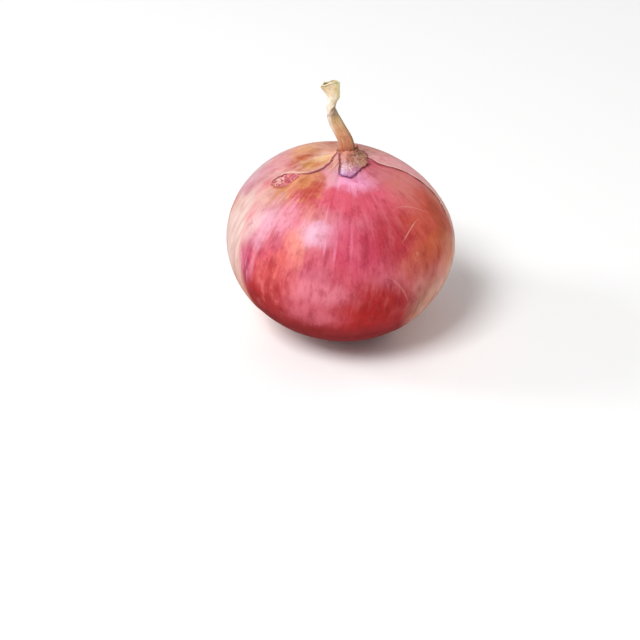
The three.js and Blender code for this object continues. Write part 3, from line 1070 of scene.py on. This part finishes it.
fine_streaks = [  # the same, for streaks too narrow to fray
    (-87.7, 54, 0.8, 8, "#EE8098", 0.45),
    (-96.5, 58, 0.9, 8, "#EC80A0", 0.7),
    (-100.7, 63, 1.2, 6, "#AC2C4C", 0.7),
    (-90.3, 60, 0.8, 5, "#BC3A58", 0.6),
    (-102.6, 58, 0.6, 6, "#F08CA6", 0.35),
    (-80.7, 58, 2.2, 8, "#B43048", 0.6),
    (-66.7, 57, 2.0, 8, "#AC2C40", 0.5),
    (-63, 28, 1.0, 5, "#F0909C", 0.3),
    (-74, 47, 0.7, 5, "#EA8090", 0.25),
    (-106, 44, 0.8, 9, "#EEA0B4", 0.45),
    (-140, 85, 1.3, 7, "#DC8098", 0.75),
    (-143.3, 94, 1.3, 9, "#98304A", 0.75),
    (-137, 77, 1.2, 4, "#B04460", 0.5),
    (-125, 84, 1.6, 14, "#F08078", 0.5),
    (-128, 77, 1.8, 4, "#AC2830", 0.7),
]
living_streaks = {  # how many round the bulb and down it, shift, detail
    "soft": (13, 11, (1, 6, 3), 4.0),
    "narrow": (36, 13, (5, 2, 8), 3.0),
    "hair": (90, 34, (2, 9, 5), 2.0),
    "fibres": (40, 8, (8, 3, 1), 2.0),
    "stripes": (34, 9, (6, 6, 2), 4.0),
    "dashes": (70, 44, (5, 5, 5), 1.0),
}
living_grains = {  # how many to the metre each way, shift, detail, roughness
    "mottle": ((420, 420, 300), (0, 0, 0), 4.0, 0.62),
    "blots": ((520, 520, 520), (4, 4, 2), 3.0, 0.6),
    "pores": ((560, 560, 300), (7, 1, 3), 3.0, 0.55),
    "grain": ((1500, 1500, 750), (9, 2, 6), 3.0, 0.6),
}
living_places = {  # turn, fall, degrees wide and tall either way
    "gilded": (-145, 37, 17, 14),
    "sunned": (-128, 30, 16, 11),
    "bruised": (-145, 92, 6, 14),
    "flushed": (-129, 90, 15, 24),
}
calm_place, calm_strength = (-8, 62, 42, 50), 0.65
deep_red_and_painted_shade_below = [  # colour, kind of mix, strength, then places or spans: a measure, from, to
    # a deeper red below the middle: partly the skin's own red, partly painted shade towards the bottom
    ("#B21420", "MIX", 0.95, ("height", 0.48, 0.57)),
]
painted_shade_below_and_mottle = [
    # darker still towards the root end: painted shade as well as the skin's own dark red
    ("#9C0810", "MIX", 0.95, ("height", 0.57, 0.68)),
    ("#8A4A48", "SCREEN", 0.36, "light", ("mottle", 0.50, 0.70)),
    ("#D890A4", "MULTIPLY", 0.55, ("mottle", 0.50, 0.30)),
]
living_texture = [
    ("#8A5A56", "SCREEN", 0.42, "light", ("soft", 0.50, 0.74)),
    ("#D89AA4", "MULTIPLY", 0.6, "spread", ("soft", 0.50, 0.26)),
    ("#905C54", "SCREEN", 0.24, "light", ("narrow", 0.52, 0.76)),
    ("#C88894", "MULTIPLY", 0.34, "spread", ("narrow", 0.48, 0.24)),
    ("#8C6A60", "SCREEN", 0.24, "light", ("hair", 0.54, 0.74)),
    ("#C98A42", "MIX", 0.5, "gilded", ("fibres", 0.50, 0.66)),
    ("#EDBE92", "MIX", 0.35, "gilded", ("fibres", 0.46, 0.34)),
    ("#B8443A", "MIX", 0.6, "sunned", ("blots", 0.50, 0.62)),
    ("#DFA468", "MIX", 0.35, "sunned", ("blots", 0.47, 0.34)),
    ("#A01848", "MIX", 0.55, "bruised", ("stripes", 0.50, 0.64)),
    ("#E49AB8", "MIX", 0.45, "bruised", ("stripes", 0.47, 0.34)),
    ("#B02430", "MIX", 0.6, "flushed", ("pores", 0.50, 0.36)),
    ("#EC7C7C", "MIX", 0.3, "flushed", ("pores", 0.53, 0.68)),
    ("#8A5A58", "SCREEN", 0.12, "light", ("grain", 0.52, 0.68)),
    ("#CC8C98", "MULTIPLY", 0.2, "spread", ("grain", 0.48, 0.32)),
    ("#B8607A", "MULTIPLY", 0.16, "spread", ("dashes", 0.66, 0.80)),
]


def living_colours(finish, place):
    """The living skin's colours without its slit, and the fine relief that goes with them."""
    frayed = frayed_place(finish, place, wide_fray)
    wavy = frayed_place(finish, place, slight_fray)
    measures = measures_of(finish, wavy, living_streaks, living_grains, living_places)
    height, plain_height = finish.part(frayed, 2), finish.part(place, 2)
    measures["height"] = height
    measures["light"] = finish.both(finish.span(height, 0.46, 0.60, 1.0, 0.25),
                                    finish.span(height, 0.06, 0.24, 0.35, 1.0))
    measures["spread"] = finish.both(finish.span(plain_height, 0.05, 0.22, 0.25, 1.0),
                                     finish.without(patch(finish, place, *calm_place), calm_strength))
    base = broad_streaks(finish, place, (5, 6), (3, 1, 2), ("#CF5468", "#DE7486"))
    # the red deepens below the middle, partly as painted shade towards the bottom
    base = finish.lay(base, measures, deep_red_and_painted_shade_below)
    base = lay_patches(finish, frayed, base, living_patches)
    base = finish.lay(base, measures, painted_shade_below_and_mottle)
    base = lay_patches(finish, wavy, base, fine_streaks)
    base = finish.lay(base, measures, living_texture)
    return base, finish.calc("ADD", measures["narrow"], finish.both(measures["grain"], 0.25))


# %% Scratches and spots
scratches = [  # turn and fall of the middle, degrees to the line, line's width, then where it shows
    (-25.4, 96.3, 51.8, 0.5, (-46, 50.5, 9, 6), 0.5),
    (-47.2, 68.6, 32.2, 0.45, (-33, 40, 16, 7), 0.32),
    (-86.9, 96.6, 31.1, 0.45, (-62, 79, 9, 7), 0.26),
    (-97.9, 104.6, 43.7, 0.45, (-58, 86, 7, 8), 0.22),
    (-48.6, 62.8, 0.8, 0.7, (-48.2, 62.4, 1.5, 1.4), 0.26),
    (-49.2, 65.2, 1.3, 0.6, (-50.2, 65.2, 1.2, 1.6), 0.18),
]
scratch_fray = (0.008, 0.008, 0.004)
scratch_core = 0.2


def lay_scratches(finish, place, base):
    """Each scratch is a short stretch of a ring round its middle."""
    shaken = frayed_place(finish, place, scratch_fray)
    for turn, fall, radius, width, shown, strength in scratches:
        far = far_from(finish, shaken, turn, fall, radius, radius)
        off_line = finish.calc("ABSOLUTE", finish.calc("SUBTRACT", far, 1.0))
        line = finish.span(off_line, width / radius, scratch_core * width / radius)
        share = finish.both(line, patch(finish, place, *shown), strength)
        base = finish.blend(share, base, colour("#F2B8A8"))
    return base


skin_grains = {  # how many to the metre each way, shift, detail
    "freckles": ((620, 620, 620), (0, 0, 0), 1.0),
    "crinkle": ((1900, 1900, 1900), (0, 0, 0), 4.0),
}
skin_places = {  # turn, fall, degrees wide and tall either way
    "freckled": (-90, 42, 34, 16),
    "pale_end": (-162, 39, 4, 5),
    "golden_rim": (-147, 28, 5, 6.5),
}
freckle_layers = [("#B03448", "MIX", 0.55, "freckled", ("freckles", 0.68, 0.78))]
flesh_layers = [
    ("#D88488", "MIX", 1.0, ("crinkle", 0.38, 0.64)),
    ("#E0BAAC", "MIX", 0.9, "pale_end", ("crinkle", 0.46, 0.58)),
]
rim_layers = [("#E8A460", "MIX", 1.0, "golden_rim")]


def living_skin():
    finish = new_finish("living_onion_skin")
    place = finish.stored("skin_place", "Vector")
    base, fine_relief = living_colours(finish, place)
    base = lay_scratches(finish, place, base)
    measures = measures_of(finish, place, {}, skin_grains, skin_places)
    base = finish.lay(base, measures, freckle_layers)
    flesh = finish.lay(colour("#A83E4A"), measures, flesh_layers)
    base = finish.blend(finish.stored("slit"), base, flesh)
    rim = finish.lay(colour("#A8502A"), measures, rim_layers)
    base = finish.blend(finish.both(finish.stored("slit_rim"), 0.85), base, rim)
    dull_below = finish.span(finish.part(place, 2), 0.48, 0.62, 0.35, 0.6)
    return finish.finish(base, dull_below, finish.relief(fine_relief, 0.035, 0.7),
                         Coat_Weight=0.2, Coat_Roughness=0.3, Specular_IOR_Level=0.34,
                         Subsurface_Weight=0.06, Subsurface_Scale=0.001)


bulb.data.materials.append(living_skin())


# %% The papery skin's finish
papery_patches = [
    (160, 34, 34, 14, "#E0A49E", 0.9),
    (160, 46, 20, 10, "#D6AAB2", 0.9),
    (165, 57, 20, 10, "#D0B0B4", 0.9),
    (146, 27, 22, 7, "#DE9A6C", 0.9),
    (140, 12, 44, 6, "#D89A84", 0.9),
    (150, 18, 16, 5, "#C47C50", 0.8),
    (-172, 11, 34, 7, "#DDA895", 0.9),
    (-160, 14, 12, 6, "#D48C58", 0.85),
    (180, 22, 16, 6, "#C8704A", 0.9),
    (-174, 27, 8, 5, "#B23424", 0.85),
    (173, 20.5, 9, 3, "#B44A1C", 0.85),
    (-165, 20, 8, 4, "#BC7C34", 0.85),
    (-161, 25, 5, 3, "#B4543C", 0.7),
    (-174, 11.5, 14, 3.5, "#ECC192", 0.8),
    (-186, 38, 20, 9, "#DB8E92", 0.85),
    (-184, 56, 9, 14, "#D090AA", 0.6),
    (-163, 54, 12, 12, "#D0A6A2", 0.85),
    (-164, 83, 15, 28, "#DABDB6", 0.9),
    (-174, 46, 9, 7, "#C68589", 0.8),
    (-177, 57, 5, 5, "#C27A88", 0.65),
    (-169, 51, 4, 4, "#D79AA0", 0.6),
    (15, 25, 34, 26, "#F9ACB3", 0.85),
    (10, 64, 14, 22, "#F4C0B1", 0.9),
    (-36, 92, 24, 20, "#FFC5A3", 0.85),
    (-28, 77, 9, 7, "#E59A86", 0.8),
    (-14, 80, 14, 11, "#F2CDB6", 0.85),
    (-34, 104, 26, 16, "#DE9882", 0.85),
    (-50, 98, 7, 10, "#A8604E", 0.8),
    (-32, 85, 7, 7, "#FFCEC2", 0.7),
    (58, 62, 24, 30, "#D89078", 0.7),
    (98, 80, 26, 36, "#C8785A", 0.7),
    (128, 66, 16, 40, "#E0AA92", 0.7),
    (162, 92, 14, 26, "#D29084", 0.8),
    (152, 104, 20, 22, "#C2745C", 0.6),
    (84, 34, 26, 14, "#CC8688", 0.7),
]
papery_streaks = {  # how many round the bulb and down it, shift, detail
    "veins": (38, 3.5, (1, 2, 3), 4.0),
    "light": (60, 6, (7, 2, 5), 3.0),
}
papery_grains = {  # how many to the metre each way, shift, detail, roughness, distortion
    "mottle": ((420, 420, 170), (5, 1, 2), 4.0, 0.6),
    "blots": ((700, 700, 700), (1, 4, 8), 4.0, 0.6, 0.3),
}
aged_place = (-167, 19, 22, 7)
papery_fray, edge_shake = (0.02, 0.02, 0.01), 0.4
papery_texture = [  # colour, kind of mix, strength, then places or spans: a measure, from, to
    ("#F6DCCB", "MIX", 0.24, ("mottle", 0.50, 0.70)),
    ("#D8A0A0", "MULTIPLY", 0.4, ("mottle", 0.50, 0.30)),
    ("#B45E34", "MIX", 0.4, "aged", ("blots", 0.51, 0.64)),
    ("#ECC48C", "MIX", 0.4, "aged", ("blots", 0.48, 0.36)),
    ("#A9605C", "MIX", 0.42, "unstained", ("veins", 0.50, 0.72)),
    ("#F3D6C8", "MIX", 0.32, "unstained", ("light", 0.53, 0.72)),
]
edge_highlight_and_shadow_line = [  # the bright curled rim, then the dark line along the tear
    # the pale rim beside a crisp tear is a painted highlight where the edge catches the light
    ("#F2D2BE", "MIX", 0.42, "crisp", ("from_tear", 0.9, 0.40)),
    # the dark line along the tear: partly the edge's own dark colour, partly painted shadow under the
    # lifted edge
    ("#A04850", "MIX", 0.92, ("line", -0.16, 0.12)),
]


def papery_skin():
    finish = new_finish("papery_onion_skin")
    place = finish.stored("skin_place", "Vector")
    frayed = frayed_place(finish, place, wide_fray)
    shaken = frayed_place(finish, place, papery_fray)
    measures = measures_of(finish, shaken, papery_streaks, papery_grains, {})
    measures["aged"] = patch(finish, frayed, *aged_place)
    measures["unstained"] = finish.without(measures["aged"], 0.7)
    base = broad_streaks(finish, place, (5, 5), (1, 3, 7), ("#D79A88", "#C07862"))
    base = lay_patches(finish, frayed, base, papery_patches)
    base = finish.lay(base, measures, papery_texture)
    measures["crisp"] = finish.stored("crisp")
    shake = finish.both(finish.calc("SUBTRACT", measures["light"], 0.5), edge_shake)
    from_tear = finish.calc("ADD", finish.stored("from_tear"), shake)
    measures["from_tear"] = from_tear
    measures["line"] = finish.calc("SUBTRACT", finish.stored("line_width"), from_tear)
    beneath, _ = living_colours(finish, place)
    near_tear = finish.span(from_tear, finish.stored("blend_width"), 0.4)
    thin = finish.both(finish.without(measures["crisp"]), near_tear)
    base = finish.blend(thin, base, beneath)
    base = finish.lay(base, measures, edge_highlight_and_shadow_line)
    return finish.finish(base, 0.5, finish.relief(measures["veins"], 0.05, 0.7),
                         Specular_IOR_Level=0.32, Subsurface_Weight=0.05, Subsurface_Scale=0.001)


outer_skin.data.materials.append(papery_skin())


# %% The dried leaf's finish
leaf_colours = [  # share of the length, colour
    (0.05, "#B2503F"), (0.13, "#BE6649"), (0.24, "#CC845E"), (0.34, "#D89C72"), (0.44, "#DAB080"),
    (0.52, "#CCAE7C"), (0.66, "#F6E6DA"), (0.76, "#F4E2C8"), (0.86, "#E8CEA6"), (1.0, "#DCC69C"),
]
leaf_noises = {  # how fine across, deep and along the leaf, shift, detail, roughness
    "patchy": ((1.6, 1.6, 14), (0, 0, 0), 4.0, 0.65),
    "fibres": ((6.5, 6.5, 7), (1, 2, 3), 4.0, 0.6),
    "light": ((9, 9, 9), (7, 2, 5), 3.0),
}
leaf_mottle = ((1300, 1300, 900), (0, 0, 0), 3.0, 0.6)
leaf_layers = [  # colour, kind of mix, strength, then places or spans: a measure, from, to, low, high
    ("#86683E", "MIX", 0.6, ("share", 0.64, 0.54), ("side", 0.62, 0.95)),
    ("#D2C688", "MIX", 0.7, ("share", 0.54, 0.64), ("side", -0.45, -0.8), ("share", 0.6, 0.7)),
    ("#D3C084", "MIX", 0.6, ("share", 0.80, 0.92), ("side", 0.2, 0.8)),
    # painted shadow under the fold, on the face turned down below the crease
    ("#9A7C58", "MIX", 0.8, ("share", 0.48, 0.60), ("share", 0.76, 0.70),
     ("facing", 0.15, -0.15), ("side", 0.95, 0.2, 0.35, 1)),
    ("#F0DDCD", "MIX", 0.9, ("side", -0.35, -0.7), ("share", 0.28, 0.46), ("share", 0.63, 0.57)),
    ("#A46A40", "MIX", 1.0, ("share", 0.55, 0.30, 0.2, 0.42), ("fibres", 0.52, 0.64)),
    ("#F6E8CC", "MIX", 0.55, ("light", 0.54, 0.70), ("share", 0.15, 0.5, 0.35, 1)),
    ("#C8AC78", "MULTIPLY", 0.35, ("mottle", 0.50, 0.32)),
    ("#A0987A", "MIX", 0.75, ("share", 0.945, 0.965), ("mottle", 0.40, 0.60)),
    # painted light inside the open tip, lightening the inner wall where the narrow mouth is in shade
    ("#EEE6C0", "MIX", 1.0, ("share", 0.955, 0.985), ("facing", 0.1, -0.3, 0.45, 0.85)),
]
leaf_colour_shift = 0.035


def dried_leaf():
    finish = new_finish("dried_leaf")
    place = finish.stored("leaf_place", "Vector")
    measures = {"mottle": finish.grain(*leaf_mottle)}
    for axis, name in enumerate(("side", "facing", "share")):
        measures[name] = finish.part(place, axis)
    for name, (scale, shift, *texture) in leaf_noises.items():
        measures[name] = finish.noise(finish.stretch(place, scale, shift), *texture)
    shift = finish.span(measures["patchy"], 0.3, 0.7, -leaf_colour_shift, leaf_colour_shift)
    shifted = finish.calc("ADD", measures["share"], shift)
    base = colour(leaf_colours[0][1])
    for (start, _), (end, code) in zip(leaf_colours, leaf_colours[1:]):
        base = finish.blend(finish.span(shifted, start, end), base, colour(code))
    base = finish.lay(base, measures, leaf_layers)
    bump = finish.relief(measures["fibres"], 0.10, 0.8)
    return finish.finish(base, 0.62, bump, Subsurface_Weight=0.06, Subsurface_Scale=0.001)


leaf.data.materials.append(dried_leaf())


# %% The collar's finish
collar_patches = [
    (-122, 5, 22, 6, "#DC9C94", 0.9),
    (-100, 5, 20, 5, "#D08C7C", 0.9),
    (-82, 5, 18, 5, "#B87260", 0.9),
    (-96, 11, 24, 3.5, "#E6B4BC", 0.9),
    (-100, 14, 12, 2.5, "#DDB4D4", 0.9),
    (-84, 14, 10, 3, "#C87EAC", 0.85),
    (-64, 11, 14, 2.5, "#BC6C92", 0.85),
    (-44, 8, 16, 2.5, "#B07C80", 0.8),
    (-10, 7, 40, 5, "#BC8468", 0.9),
    (-50, 5, 18, 3.5, "#C48C78", 0.9),
]
collar_grains = {  # how many to the metre each way, shift, detail
    "folds": ((1100, 1100, 1100), (2, 7, 4), 3.0),
    "spots": ((2400, 2400, 2400), (0, 0, 0), 2.0),
    "crumbs": ((1700, 1700, 1700), (3, 5, 1), 3.0),
}
collar_places = {  # turn, fall, degrees wide and tall either way
    "tongue": (-90, 12, 36, 9),
    "tongue_tip": (-88, 15.5, 24, 4.5),
}
collar_layers = [  # colour, kind of mix, strength, then places or spans: a measure, from, to
    ("#CC8064", "MIX", 0.75, ("height", 0.70, 0.90)),
    # darker in a pattern of folds part way up: painted shade in the folds
    ("#96503C", "MIX", 0.6, ("height", 0.3, 0.6), ("folds", 0.46, 0.36)),
    ("#F3DEEC", "MIX", 0.6, "tongue", ("height", 0.62, 0.35), ("spots", 0.54, 0.70)),
    ("#8E5A76", "MIX", 0.45, "tongue", ("height", 0.62, 0.35), ("spots", 0.45, 0.31)),
    ("#7C4438", "MIX", 0.7, "crumbly", ("crumbs", 0.50, 0.36)),
    ("#E2C4A4", "MIX", 0.65, "crumbly", ("crumbs", 0.55, 0.7)),
    ("#96563C", "MIX", 0.8, "knob"),
]
ink_layers = [("#94508A", "MIX", 1.0, "tongue_tip")]
collar_fray, hem_shake = (0.25, 0.25, 0.03), 0.07


def dried_collar():
    finish = new_finish("dried_collar")
    place = finish.stored("skin_place", "Vector")
    measures = measures_of(finish, place, {}, collar_grains, collar_places)
    for name in ("height", "crumbly", "knob"):
        measures[name] = finish.stored(name)
    frayed = frayed_place(finish, place, collar_fray)
    base = lay_patches(finish, frayed, colour("#B98A74"), collar_patches)
    base = finish.lay(base, measures, collar_layers)
    shake = finish.span(measures["spots"], 0.3, 0.7, -hem_shake, hem_shake)
    from_hem = finish.calc("ADD", finish.stored("from_hem"), shake)
    line = finish.calc("SUBTRACT", finish.stored("inked"), from_hem)
    ink = finish.lay(colour("#8E4048"), measures, ink_layers)
    base = finish.blend(finish.span(line, -0.16, 0.14, 0, 0.9), base, ink)
    crumbs = finish.relief(measures["crumbs"], 0.14, 0.6)
    return finish.finish(base, 0.7, finish.relief(measures["spots"], 0.08, 0.7, crumbs))


collar.data.materials.append(dried_collar())


# %% The roots' finish
def dry_root():
    finish = new_finish("dry_root")
    grain = finish.grain((900, 900, 900))
    base = finish.blend(grain, colour("#8A6844"), colour("#D8BC8C"))
    at_plate = finish.span(finish.stored("root_share"), 0.1, 0.0)
    base = finish.blend(at_plate, base, colour("#7A5638"))
    return finish.finish(base, 0.8, finish.relief(grain, 0.05, 0.7))


roots.data.materials.append(dry_root())
